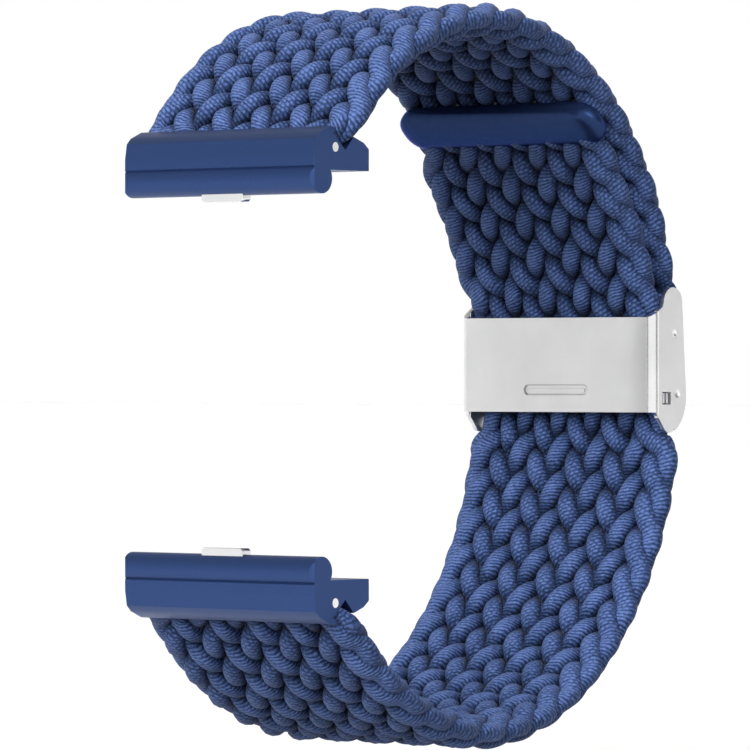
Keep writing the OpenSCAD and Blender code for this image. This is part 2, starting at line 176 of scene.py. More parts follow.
class Shader(Nodes):
    """A material's node tree, with short calls for what the finishes share."""

    def __init__(self, name: str) -> None:
        """Starts a material of that name with a Principled shader."""
        self.material = bpy.data.materials.new(name)
        self.material.use_nodes = True
        super().__init__(self.material.node_tree)
        self.bsdf = self.tree.nodes["Principled BSDF"]

    def ease(self, value: Socket, start: float, stop: float) -> Socket:
        """Returns a value that eases from 0 to 1 between two places, in millimetres."""
        if start < stop:
            return self.remap(value, (start * MM, stop * MM))
        return self.remap(value, (stop * MM, start * MM), (1.0, 0.0))

    def wave(self, value: Socket) -> Socket:
        """Returns humps from 0 to 1, one for each whole step of the value."""
        return self.math("ABSOLUTE", self.math("SINE", self.math("MULTIPLY", value, math.pi)))

    def total(self, *terms: tuple[Socket, float]) -> Socket:
        """Returns the sum of some values, each times its weight."""
        result, *others = [self.math("MULTIPLY", value, weight) for value, weight in terms]
        for other in others:
            result = self.math("ADD", result, other)
        return result

    def attribute(self, name: str) -> Socket:
        """Returns the number that the mesh carries under that name."""
        return self.add("ShaderNodeAttribute", attribute_name=name).outputs["Fac"]

    def noise(self, scale: float, detail: float = 2.0, stretch: Optional[tuple] = None) -> Socket:
        """Adds a noise on Object coordinates.

        Args:
            scale: Its scale, per metre.
            detail: Its octaves.
            stretch: Scale of each axis, for brushed lines.

        Returns:
            The noise's value socket.
        """
        place = self.add("ShaderNodeTexCoord").outputs["Object"]
        if stretch:
            feeds = {"Vector": place, "Scale": stretch}
            place = self.add("ShaderNodeMapping", feeds).outputs["Vector"]
        feeds = {"Vector": place, "Scale": scale, "Detail": detail}
        return self.add("ShaderNodeTexNoise", feeds).outputs["Fac"]

    def ramp(self, value: Socket, stops: Sequence[tuple[float, tuple]]) -> Socket:
        """Adds a colour ramp.

        Args:
            value: What it reads.
            stops: Rows of place and colour.

        Returns:
            The colour's socket.
        """
        node = self.add("ShaderNodeValToRGB", {"Fac": value})
        elements = node.color_ramp.elements
        while len(elements) < len(stops):
            elements.new(0.5)
        for element, (place, colour) in zip(elements, stops):
            element.position = place
            element.color = (*colour, 1.0)
        return node.outputs["Color"]

    def mottle(self, value: Socket, colour: tuple, shade: float, span: tuple[float, float]) -> None:
        """Colours the shader from a shade of a colour up to the colour itself.

        Args:
            value: What the colour follows, such as a noise.
            colour: The lighter colour.
            shade: The darker colour's share of it.
            span: The values where the two colours are reached.
        """
        darker = tuple(shade * part for part in colour)
        stops = [(span[0], darker), (span[1], colour)]
        self.join(self.ramp(value, stops), self.bsdf.inputs["Base Color"])

    def bump(self, height: Socket, distance: float, strength: float) -> None:
        """Gives the shader a bump of that height, over the bump it already has."""
        normal = self.bsdf.inputs["Normal"]
        feeds = {"Height": height, "Distance": distance, "Strength": strength}
        if normal.is_linked:
            feeds["Normal"] = normal.links[0].from_socket
        self.join(self.add("ShaderNodeBump", feeds).outputs["Normal"], normal)

    def set(self, **values: object) -> None:
        """Sets the shader's own sockets, named with underscores for spaces."""
        for key, value in values.items():
            self.bsdf.inputs[key.replace("_", " ")].default_value = value


@dataclass(frozen=True)
class BraidFinish:
    """Nylon strands: ribs of fine yarn round each strand, with a soft sheen, a painted highlight on
    the ribs' crests and painted shade in their grooves, where strands dip and along their sides.

    Lengths are in millimetres, noises' scales per metre, and lights and shades are weights.
    """

    name: str = "braided_nylon"
    dark: tuple = (0.003, 0.005, 0.014)
    middle: tuple = (0.017, 0.035, 0.098)
    light: tuple = (0.078, 0.125, 0.300)
    stops: tuple = (0.10, 0.41, 0.72)
    rib_pitch: float = 0.40
    rib_depth: float = 0.10
    rib_wobble: float = 1.1
    lay: float = 0.36
    family_lay: float = 0.34
    knobs: float = 1.6
    knob_shift: float = 0.5
    knob_wobble: float = 0.8
    knob_gap: float = 0.40
    family_gap: float = 0.22
    speck_scale: float = 3600.0
    speck_depth: float = 0.08
    patch_scale: float = 420.0
    ribs_and_painted_crest_light: float = 0.34
    speck_light: float = 0.55
    patch_light: float = 0.14
    tone_light: float = 0.06
    painted_dip_shade: float = 0.34
    painted_side_shade: float = 0.20

    def build(self) -> bpy.types.Material:
        """Returns the finish as a material."""
        sh = Shader(self.name)
        across, twist = sh.attribute("across"), sh.attribute("twist")
        wobble = sh.math("MULTIPLY", sh.math("SUBTRACT", sh.noise(1100.0), 0.5), self.rib_wobble)
        lay = sh.math("ADD", sh.math("MULTIPLY", twist, self.family_lay), self.lay)
        run = sh.math("ADD", sh.attribute("along"), sh.math("MULTIPLY", across, lay))
        phase = sh.math("ADD", sh.math("DIVIDE", run, self.rib_pitch), wobble)
        # each rib is a row of knobs, set half a knob from its neighbours'
        turn = sh.math("ARCSINE", sh.math("MULTIPLY", across, 0.98))
        turn = sh.math("MULTIPLY", turn, self.knobs)
        shift = sh.math("MULTIPLY", sh.math("FLOOR", phase), self.knob_shift)
        turn = sh.math("ADD", turn, shift)
        wobble = sh.math("MULTIPLY", sh.noise(900.0, 1.0), self.knob_wobble)
        knob = sh.wave(sh.math("ADD", turn, wobble))
        # one family shows smooth ribs and the other one knots
        knotty = sh.math("SUBTRACT", self.knob_gap, sh.math("MULTIPLY", twist, self.family_gap))
        gap = sh.math("MULTIPLY", sh.math("SUBTRACT", 1.0, knob), knotty)
        # the yarn's ribs, with a painted highlight on their crests and painted shade in the grooves
        # and in the gaps between knobs
        yarn = sh.math("MULTIPLY", sh.wave(phase), sh.math("SUBTRACT", 1.0, gap))
        speck = sh.noise(self.speck_scale, 3.0)
        lit = sh.total(
            (yarn, self.ribs_and_painted_crest_light),
            (speck, self.speck_light),
            (sh.noise(self.patch_scale), self.patch_light),
            (sh.attribute("tone"), self.tone_light),
            # painted shade where a strand dips under its neighbours
            (sh.attribute("depth"), -self.painted_dip_shade),
            # painted shade along a strand's sides, in the grooves between strands
            (sh.math("POWER", sh.math("ABSOLUTE", across), 3.0), -self.painted_side_shade),
        )
        colour = sh.ramp(lit, list(zip(self.stops, (self.dark, self.middle, self.light))))
        sh.join(colour, sh.bsdf.inputs["Base Color"])
        sh.bump(yarn, self.rib_depth * MM, 0.7)
        sh.bump(speck, self.speck_depth * MM, 0.6)
        sh.set(Roughness=0.60, Sheen_Weight=0.10, Sheen_Roughness=0.45)
        sh.set(Sheen_Tint=(0.55, 0.65, 1.0, 1.0), Specular_IOR_Level=0.14)
        return sh.material


@dataclass(frozen=True)
class MetalFinish:
    """Satin, brushed or polished metal."""

    name: str
    colour: tuple = (0.80, 0.80, 0.80)
    roughness: float = 0.34
    grain: float = 0.10
    stretch: tuple = (0.04, 1.0, 1.0)
    bump: float = 0.000004
    brush_scale: float = 9000.0
    cloud_scale: float = 160.0
    cloud_shade: float = 0.90

    def build(self) -> bpy.types.Material:
        """Returns the finish as a material."""
        sh = Shader(self.name)
        brushed = sh.noise(self.brush_scale, 4.0, self.stretch)
        cloud = sh.noise(self.cloud_scale, 3.0)
        low = self.roughness - self.grain / 2
        rough = sh.math("ADD", sh.math("MULTIPLY", brushed, self.grain), low)
        rough = sh.math("ADD", rough, sh.math("MULTIPLY", cloud, self.grain / 2))
        sh.join(rough, sh.bsdf.inputs["Roughness"])
        sh.mottle(cloud, self.colour, self.cloud_shade, (0.3, 0.7))
        sh.bump(brushed, self.bump, 0.6)
        sh.set(Metallic=1.0)
        self.detail(sh)
        return sh.material

    def detail(self, sh: Shader) -> None:
        """Adds what only some metals have."""


@dataclass(frozen=True)
class BentFinish(MetalFinish):
    """Satin sheet with a polished bend at each end, brightened by a painted highlight, and a
    painted shade line round its pressed bead.

    Sizes are in millimetres.
    """

    bend_x: float = 11.6
    bend_y: float = 51.1
    bend_soft: float = 0.15
    bend_painted_highlight: float = 0.14
    bend_polish: float = 0.5
    bead_l: float = 8.15
    bead_w: float = 0.95
    bead_z: float = -1.47
    bead_soft: float = 0.11
    bead_painted_shade: float = 0.42
    roll_l: float = 2.4
    roll_drop: float = 0.18

    def detail(self, sh: Shader) -> None:
        """Polishes the bends and paints a highlight on them, rolls the face a little towards them
        and paints a shade line round the bead's outline.
        """
        place = sh.add("ShaderNodeTexCoord").outputs["Object"]
        split = sh.add("ShaderNodeSeparateXYZ", {"Vector": place})
        x, y = sh.math("ABSOLUTE", split.outputs["X"]), split.outputs["Y"]
        beyond = sh.ease(x, self.bend_x, self.bend_x + self.bend_soft)
        above = sh.ease(y, self.bend_y, self.bend_y - self.bend_soft)
        bend = sh.math("MULTIPLY", beyond, above)
        # painted shade: a dark line round the pressed bead's outline, on the face in front of the
        # bends
        over = sh.math("SUBTRACT", x, (self.bead_l - self.bead_w) / 2 * MM)
        over = sh.math("MAXIMUM", over, 0.0)
        rise = sh.math("SUBTRACT", split.outputs["Z"], self.bead_z * MM)
        reach = sh.math("ADD", sh.math("MULTIPLY", over, over), sh.math("MULTIPLY", rise, rise))
        away = sh.math("SUBTRACT", sh.math("SQRT", reach), self.bead_w / 2 * MM)
        line = sh.ease(sh.math("ABSOLUTE", away), self.bead_soft, 0.0)
        line = sh.math("MULTIPLY", line, sh.ease(y, self.bend_y - 0.3, self.bend_y - 0.5))
        # the colour's gain: painted highlight on the bends, less painted shade round the bead
        painted_light_gain = sh.math("ADD", 1.0, sh.math("MULTIPLY", bend, self.bend_painted_highlight))
        painted_light_gain = sh.math("SUBTRACT", painted_light_gain, sh.math("MULTIPLY", line, self.bead_painted_shade))
        colour, rough = sh.bsdf.inputs["Base Color"], sh.bsdf.inputs["Roughness"]
        feeds = {0: colour.links[0].from_socket, "Scale": painted_light_gain}
        scale = sh.add("ShaderNodeVectorMath", feeds, operation="SCALE")
        sh.join(scale.outputs["Vector"], colour)
        polish = sh.math("SUBTRACT", 1.0, sh.math("MULTIPLY", bend, self.bend_polish))
        sh.join(sh.math("MULTIPLY", rough.links[0].from_socket, polish), rough)
        near = sh.math("SUBTRACT", x, (self.bend_x - self.roll_l) * MM)
        near = sh.math("DIVIDE", near, self.roll_l * MM)
        near = sh.math("MINIMUM", sh.math("MAXIMUM", near, 0.0), 1.0)
        inside = sh.ease(y, self.bend_y + 0.2, self.bend_y)
        roll = sh.math("MULTIPLY", sh.math("MULTIPLY", near, near), inside)
        sh.bump(sh.math("SUBTRACT", 1.0, roll), self.roll_drop * MM, 1.0)


@dataclass(frozen=True)
class BlastedFinish:
    """Bead-blasted and anodised aluminium."""

    name: str = "anodised_blue"
    colour: tuple = (0.033, 0.070, 0.205)

    def build(self) -> bpy.types.Material:
        """Returns the finish as a material."""
        sh = Shader(self.name)
        grit = sh.noise(11000.0, 3.0)
        sh.mottle(grit, self.colour, 0.82, (0.3, 0.7))
        sh.bump(grit, 0.010 * MM, 0.7)
        sh.set(Metallic=0.85, Roughness=0.42)
        return sh.material


@dataclass(frozen=True)
class CapFinish:
    """Satin blue lacquer of the tail cap."""

    name: str = "satin_blue_cap"
    colour: tuple = (0.020, 0.038, 0.106)
    edge_tint: tuple = (0.22, 0.38, 1.0, 1.0)

    def build(self) -> bpy.types.Material:
        """Returns the finish as a material."""
        sh = Shader(self.name)
        peel = sh.noise(1500.0)
        grit = sh.noise(9000.0)
        sh.mottle(peel, self.colour, 0.86, (0.35, 0.65))
        rough = sh.math("ADD", sh.math("MULTIPLY", grit, 0.10), 0.20)
        sh.join(rough, sh.bsdf.inputs["Roughness"])
        sh.bump(peel, 0.012 * MM, 0.5)
        sh.bump(grit, 0.003 * MM, 0.5)
        sh.set(Metallic=0.6, Specular_IOR_Level=0.10, Specular_Tint=self.edge_tint)
        return sh.material


@dataclass(frozen=True)
class FloorFinish:
    """Plain pale floor."""

    name: str = "pale_floor"
    colour: tuple = (0.78, 0.78, 0.78)

    def build(self) -> bpy.types.Material:
        """Returns the finish as a material."""
        sh = Shader(self.name)
        sh.set(Base_Color=(*self.colour, 1.0), Roughness=0.9)
        return sh.material


@dataclass
class LoopShape:
    """The loop that both straps follow, in millimetres in the side view (depth, height)."""

    root: tuple[float, float] = (2.7, 21.9)
    root_angle: float = 47.0
    inside_lug: float = 1.4
    corner_r: float = 25.0
    centre: tuple[float, float] = (17.5777, -1.5)
    band_r: float = 35.8
    strap_t: float = 2.3
    layer_gap: float = 0.15
    tail_angle: float = 47.6
    tail_overrun: float = 1.0
    bar: tuple[float, float] = (54.477, 7.45)
    wrap_r: float = 1.02
    wrap_angles: tuple[float, float] = (22.0, -215.0)
    leave_angle: float = 22.5
    link_pulls: tuple[float, float] = (0.42, 0.34)
    step: float = 0.1

    def corner(self, centre: np.ndarray, radius: float) -> tuple[float, np.ndarray, float]:
        """Fits the corner curve between the straight leg and the back curve.

        Args:
            centre: Centre of the back curve.
            radius: Its radius.

        Returns:
            The leg's length, the corner's centre and the angle where the two curves meet.
        """
        turn = math.radians(self.root_angle)
        along = np.array([math.cos(turn), math.sin(turn)])
        out = np.array([-math.sin(turn), math.cos(turn)])
        reach = np.array(self.root) - self.corner_r * out - centre
        b = float(reach @ along)
        k = float(reach @ reach) - (radius - self.corner_r) ** 2
        leg = -b + math.sqrt(b * b - k)
        middle = np.array(self.root) - self.corner_r * out + leg * along
        join = math.atan2(middle[1] - centre[1], middle[0] - centre[0])
        return leg, middle, join

    def arc(self, centre: np.ndarray, radius: float, start: float, stop: float) -> np.ndarray:
        """Returns points along an arc between two angles in radians, about a step apart."""
        count = max(2, int(abs(stop - start) * radius / self.step))
        angles = np.linspace(start, stop, count)
        around = [centre[0] + radius * np.cos(angles), centre[1] + radius * np.sin(angles)]
        return np.stack(around, 1)

    def lead(self, leg: float) -> np.ndarray:
        """Returns points of a strap's root, as an upper strap's, up to the leg's end."""
        turn = math.radians(self.root_angle)
        along = np.array([math.cos(turn), math.sin(turn)])
        runs = np.arange(-self.inside_lug, leg, self.step)
        return np.array(self.root) + runs[:, None] * along

    def start(self, centre: np.ndarray, radius: float) -> tuple[np.ndarray, float]:
        """Draws a strap's root and corner, as an upper strap's.

        Args:
            centre: Centre of the back curve.
            radius: Its radius.

        Returns:
            The points, and the angle where the back curve takes over.
        """
        leg, middle, join = self.corner(centre, radius)
        top = self.arc(middle, self.corner_r, math.radians(90 + self.root_angle), join)
        return np.concatenate([self.lead(leg), top]), join

    def long_strap(self) -> np.ndarray:
        """Returns the long strap's middle line, from its lug to its tail."""
        upper, join = self.start(np.array([self.centre[0], -self.centre[1]]), self.band_r)
        end = math.radians(self.tail_angle + self.tail_overrun)
        back = self.arc(np.array(self.centre), self.band_r, -join, end)
        return np.concatenate([upper * np.array([1, -1]), back])

    def short_strap(self) -> np.ndarray:
        """Returns the short strap's middle line, from its lug to its loop round the clasp's bar."""
        centre = np.array(self.centre)
        radius = self.band_r + self.strap_t + self.layer_gap
        upper, join = self.start(centre, radius)
        back = self.arc(centre, radius, join, math.radians(self.leave_angle))
        wrap = self.arc(np.array(self.bar), self.wrap_r, *map(math.radians, self.wrap_angles))
        # an eased link from the back curve to the outer side of the bar
        p0, p3 = back[-1], wrap[0]
        d0 = (back[-1] - back[-2]) / np.linalg.norm(back[-1] - back[-2])
        d3 = (wrap[1] - wrap[0]) / np.linalg.norm(wrap[1] - wrap[0])
        reach = np.linalg.norm(p3 - p0)
        u = np.linspace(0, 1, max(8, int(reach / self.step)))[1:-1, None]
        p1, p2 = p0 + d0 * reach * self.link_pulls[0], p3 - d3 * reach * self.link_pulls[1]
        link = (1 - u) ** 3 * p0 + 3 * (1 - u) ** 2 * u * p1
        link = link + 3 * (1 - u) * u * u * p2 + u**3 * p3
        return np.concatenate([upper, back, link, wrap])


@dataclass
class MiddleLine:
    """A strap's middle line in millimetres, with its lengths and its outward directions."""

    points: np.ndarray
    out_side: int
    closest: float = 0.02
    runs: np.ndarray = field(init=False)
    outs: np.ndarray = field(init=False)

    def __post_init__(self) -> None:
        """Measures the line and finds its outward directions."""
        keep = [0]
        for i in range(1, len(self.points)):
            if np.linalg.norm(self.points[i] - self.points[keep[-1]]) > self.closest:
                keep.append(i)
        self.points = self.points[keep]
        steps = np.linalg.norm(np.diff(self.points, axis=0), axis=1)
        self.runs = np.concatenate([[0], np.cumsum(steps)])
        slopes = np.gradient(self.points, self.runs, axis=0)
        slopes /= np.linalg.norm(slopes, axis=1)[:, None]
        self.outs = self.out_side * np.stack([-slopes[:, 1], slopes[:, 0]], 1)

    @property
    def length(self) -> float:
        """The line's length in millimetres."""
        return float(self.runs[-1])

    def moved(self, amount: np.ndarray) -> "MiddleLine":
        """Returns the line moved outwards by an amount at each of its points."""
        return MiddleLine(self.points + self.outs * amount[:, None], self.out_side)

    def at(self, run: np.ndarray) -> tuple[np.ndarray, np.ndarray]:
        """Returns the points and outward directions at those lengths."""
        place = np.stack([np.interp(run, self.runs, self.points[:, i]) for i in (0, 1)], 1)
        out = np.stack([np.interp(run, self.runs, self.outs[:, i]) for i in (0, 1)], 1)
        return place, out / np.linalg.norm(out, axis=1)[:, None]


class StrandSweep(Nodes):
    """Geometry Nodes tree that turns the strands' middle lines into round, yarn-covered strands."""

    SIZES = (
        ("Strand Width", "NodeSocketFloat"),
        ("Strand Thickness", "NodeSocketFloat"),
        ("Sides", "NodeSocketInt"),
        ("Finish", "NodeSocketMaterial"),
    )

    def __init__(self) -> None:
        """Builds the tree, once for both straps."""
        super().__init__(bpy.data.node_groups.new("strand_sweep", "GeometryNodeTree"))
        face = self.tree.interface
        face.new_socket("Lines", in_out="INPUT", socket_type="NodeSocketGeometry")
        self.inputs = {
            name: face.new_socket(name, in_out="INPUT", socket_type=kind).identifier
            for name, kind in self.SIZES
        }
        face.new_socket("Strands", in_out="OUTPUT", socket_type="NodeSocketGeometry")
        given = self.add("NodeGroupInput").outputs
        swept = self.sweep(self.laid_lines(given["Lines"]), self.ring(given))
        pressed = self.pressed(swept)
        soft = self.add("GeometryNodeSetShadeSmooth", {"Geometry": pressed}).outputs["Geometry"]
        real = self.add("GeometryNodeRealizeInstances", {"Geometry": soft}).outputs["Geometry"]
        feeds = {"Geometry": real, "Material": given["Finish"]}
        finish = self.add("GeometryNodeSetMaterial", feeds)
        self.add("NodeGroupOutput", {"Strands": finish.outputs["Geometry"]})

    def read(self, name: str, kind: str = "FLOAT") -> Socket:
        """Returns the attribute of that name, of that data type."""
        node = self.add("GeometryNodeInputNamedAttribute", {"Name": name}, data_type=kind)
        return node.outputs["Attribute"]

    def store(self, geometry: Socket, name: str, value: Socket, kind: str = "FLOAT") -> Socket:
        """Keeps a value with a geometry's points.

        Args:
            geometry: The geometry.
            name: The attribute's name.
            value: What it holds.
            kind: Its data type.

        Returns:
            The geometry that carries it.
        """
        feeds = {"Geometry": geometry, "Name": name, "Value": value}
        node = self.add("GeometryNodeStoreNamedAttribute", feeds, data_type=kind)
        return node.outputs["Geometry"]

    def position(self) -> Socket:
        """Returns the place of each point."""
        return self.add("GeometryNodeInputPosition").outputs["Position"]

    def laid_lines(self, lines: Socket) -> Socket:
        """Makes curves of the middle lines, turned so that their strands lie flat on the strap."""
        curve = self.add("GeometryNodeMeshToCurve", {"Mesh": lines}).outputs["Curve"]
        feeds = {"Curve": curve, "Normal": self.read("lay_out", "FLOAT_VECTOR")}
        lay = self.add("GeometryNodeSetCurveNormal", feeds, mode="FREE")
        return self.store(lay.outputs["Curve"], "core", self.position(), "FLOAT_VECTOR")

    def ring(self, given: bpy.types.bpy_prop_collection) -> Socket:
        """Returns a strand's oval outline, which knows its place across the strand from -1 to 1."""
        feeds = {"Resolution": given["Sides"], "Radius": 0.5}
        ring = self.add("GeometryNodeCurvePrimitiveCircle", feeds).outputs["Curve"]
        split = self.add("ShaderNodeSeparateXYZ", {"Vector": self.position()})
        marked = self.store(ring, "across", self.math("MULTIPLY", split.outputs["Y"], 2.0))
        feeds = {"X": given["Strand Thickness"], "Y": given["Strand Width"], "Z": 1.0}
        scale = self.add("ShaderNodeCombineXYZ", feeds).outputs["Vector"]
        oval = self.add("GeometryNodeTransform", {"Geometry": marked, "Scale": scale})
        return oval.outputs["Geometry"]

    def sweep(self, lines: Socket, ring: Socket) -> Socket:
        """Sweeps the outline along the lines, with closed ends."""
        size = self.read("squeeze")
        feeds = {"Curve": lines, "Profile Curve": ring, "Scale": size, "Fill Caps": True}
        return self.add("GeometryNodeCurveToMesh", feeds).outputs["Mesh"]

    def pressed(self, mesh: Socket) -> Socket:
        """Flattens the strands where the strap is thin."""
        feeds = {0: self.position(), 1: self.read("core", "FLOAT_VECTOR")}
        arm = self.add("ShaderNodeVectorMath", feeds, operation="SUBTRACT").outputs["Vector"]
        side = self.read("lay_out", "FLOAT_VECTOR")
        rise = self.add("ShaderNodeVectorMath", {0: arm, 1: side}, operation="DOT_PRODUCT")
        drop = self.math("MULTIPLY", rise.outputs["Value"], self.read("press"))
        feeds = {"Vector": side, "Scale": drop}
        sink = self.add("ShaderNodeVectorMath", feeds, operation="SCALE").outputs["Vector"]
        feeds = {"Geometry": mesh, "Offset": sink}
        return self.add("GeometryNodeSetPosition", feeds).outputs["Geometry"]

    def run(
        self, lines: bpy.types.Object, name: str, values: dict[str, object]
    ) -> bpy.types.Object:
        """Sweeps the strands and makes them a plain mesh.

        Args:
            lines: Mesh of the strands' middle lines, which is used up.
            name: Name of the finished piece.
            values: A value for each of the tree's named inputs.

        Returns:
            The finished piece.
        """
        modifier = lines.modifiers.new("sweep", "NODES")
        modifier.node_group = self.tree
        for key, value in values.items():
            modifier[self.inputs[key]] = value
        bpy.context.view_layer.update()
        graph = bpy.context.evaluated_depsgraph_get()
        mesh = bpy.data.meshes.new_from_object(lines.evaluated_get(graph), depsgraph=graph)
        bpy.data.objects.remove(lines)
        mesh.name = name
        return put(name, mesh)


@dataclass
class FlatBraid:
    """A flat braid in which each strand goes over two and under two, then turns at the edge.

    Sizes are in millimetres, and places across a strap run from -1 to 1.
    """

    name: str
    line: MiddleLine
    half_width: Callable[[np.ndarray, np.ndarray], np.ndarray]
    thickness: Callable[[np.ndarray, np.ndarray], np.ndarray]
    drift: Callable[[np.ndarray], np.ndarray]
    lean: Lean
    face: Face
    phase: float
    columns: int = 10
    stack: float = 4.13
    dwell: float = 0.5
    stair: float = 0.55
    bend: float = 1.05
    blur: float = 0.40
    strand_w: float = 2.0
    strand_t: float = 1.60
    waist: float = 0.72
    crown: float = 1.04
    edge_plump: float = 1.15
    edge_from: float = 0.78
    edge_soft: float = 0.2
    inset: float = 0.42
    full_half_width: float = 13.2
    full_thickness: float = 3.2
    least_lift: float = 0.1
    sample: float = 0.25
    sides: int = 12
    triangles: int = 190000
    seed: int = 7

    @property
    def strands(self) -> int:
        """The number of strands, which the columns and the turns at the edges fix."""
        return int(round(2 * self.columns + 2 * self.dwell))

    def travel(self, q: np.ndarray) -> tuple[np.ndarray, np.ndarray]:
        """Follows a strand across the strap, to and fro.

        Args:
            q: How many columns it has gone since it left the first edge.

        Returns:
            The column it is at, and its heading: 1 out, -1 back and 0 while it turns.
        """
        n, turn = self.columns, self.dwell
        q = np.mod(q, 2 * n + 2 * turn)
        legs = [q < n, q < n + turn, q < 2 * n + turn]
        place = np.select(legs, [q, n, 2 * n + turn - q], 0.0)
        return place, np.select(legs, [1.0, 0.0, -1.0], 0.0)

    def weave(self, run: np.ndarray, strand: int) -> tuple[np.ndarray, np.ndarray, np.ndarray]:
        """Follows one strand through the braid.

        Args:
            run: Places along the strap.
            strand: The strand's number.

        Returns:
            Its place across the strap, its height and its family there, each from -1 to 1.
        """
        spread = np.linspace(-self.blur, self.blur, 17)
        weight = np.cos(spread / self.blur * math.pi / 2) + 0.15
        weight /= weight.sum()
        across = np.zeros_like(run)
        twist = np.zeros_like(run)
        for offset, share in zip(spread, weight):
            place, going = self.travel(run / self.stack + strand + self.phase + offset)
            step = place + self.stair / (2 * math.pi) * np.sin(2 * math.pi * place)
            across += share * (2 * step / self.columns - 1)
            twist += share * going
        place, going = self.travel(run / self.stack + strand + self.phase)
        height = -np.tanh(self.bend * np.sin(math.pi * place) * going) / math.tanh(self.bend)
        return across * self.lean.value, height * self.face.value, twist

    def strand(self, number: int, rng: np.random.Generator) -> dict[str, np.ndarray]:
        """Draws one strand's middle line.

        Args:
            number: The strand's number.
            rng: Source of its tone and of where its ribs start.

        Returns:
            The points, the lengths up to them, and what the sweep and the finish read there.
        """
        run = np.linspace(0, self.line.length, int(self.line.length / self.sample))
        place, out = self.line.at(run)
        across, height, twist = self.weave(run, number)
        half = self.half_width(run, place)
        thick = self.thickness(run, place)
        fit = np.minimum(half / self.full_half_width, 1.0) ** 0.7
        edge = np.clip((np.abs(across) - self.edge_from) / self.edge_soft, 0, 1)
        plump = self.waist + (self.crown - self.waist) * np.abs(height) ** 0.65
        flat = np.minimum(thick / self.full_thickness, 1.0)
        lift = height * np.maximum(thick - self.strand_t * fit * flat, self.least_lift) / 2
        x = across * (half - self.strand_w * fit * self.inset) + self.drift(place)
        y, z = place[:, 0] + out[:, 0] * lift, place[:, 1] + out[:, 1] * lift
        spot = np.stack([x, y, z], 1)
        steps = np.linalg.norm(np.diff(spot, axis=0), axis=1)
        lengths = np.concatenate([[0], np.cumsum(steps)])
        return {
            "lengths": lengths,
            "spot": spot,
            "lay_out": np.stack([np.zeros_like(run), out[:, 0], out[:, 1]], 1),
            "squeeze": fit * (plump + (self.edge_plump - plump) * edge),
            "press": flat - 1,
            # depth marks where a strand dips under its neighbours, which the finish darkens as
            # painted shade
            "depth": (1 - np.abs(height)) * (1 - edge),
            "twist": twist,
            "tone": np.full(len(run), rng.uniform(0, 1)),
            "along": lengths + rng.uniform(0, 5),
        }

    def lines(self) -> bpy.types.Object:
        """Returns the strands' middle lines as a mesh of edges with even steps."""
        rng = np.random.default_rng(self.seed)
        rows = [self.strand(number, rng) for number in range(self.strands)]
        ring = sum(row["lengths"][-1] for row in rows) * 2 * self.sides / self.triangles
        parts: dict[str, list[np.ndarray]] = {key: [] for key in rows[0] if key != "lengths"}
        edges, first = [], 0
        for row in rows:
            lengths = row["lengths"]
            even = np.linspace(0, lengths[-1], max(8, int(lengths[-1] / ring)))
            for key, made in parts.items():
                columns = row[key].reshape(len(lengths), -1).T
                made.append(np.stack([np.interp(even, lengths, column) for column in columns], 1))
            starts = np.arange(len(even) - 1) + first
            edges.append(np.stack([starts, starts + 1], 1))
            first += len(even)
        mesh = bpy.data.meshes.new(self.name + "_lines")
        spots = np.concatenate(parts.pop("spot")) * MM
        mesh.from_pydata(spots.tolist(), np.concatenate(edges).tolist(), [])
        for key, made in parts.items():
            wide = made[0].shape[1] == 3
            layer = mesh.attributes.new(key, "FLOAT_VECTOR" if wide else "FLOAT", "POINT")
            values = np.concatenate(made).astype(np.float32).ravel()
            layer.data.foreach_set("vector" if wide else "value", values)
        return put(self.name + "_lines", mesh)

    def build(self, sweep: StrandSweep, finish: bpy.types.Material) -> bpy.types.Object:
        """Makes the braid's strands.

        Args:
            sweep: The tree that sweeps strands.
            finish: The strands' material.

        Returns:
            The finished piece.
        """
        values = {
            "Strand Width": self.strand_w * MM,
            "Strand Thickness": self.strand_t * MM,
            "Sides": self.sides,
            "Finish": finish,
        }
        piece = sweep.run(self.lines(), self.name, values)
        LOG.info("%s: %d strands, %d faces", piece.name, self.strands, len(piece.data.polygons))
        return piece


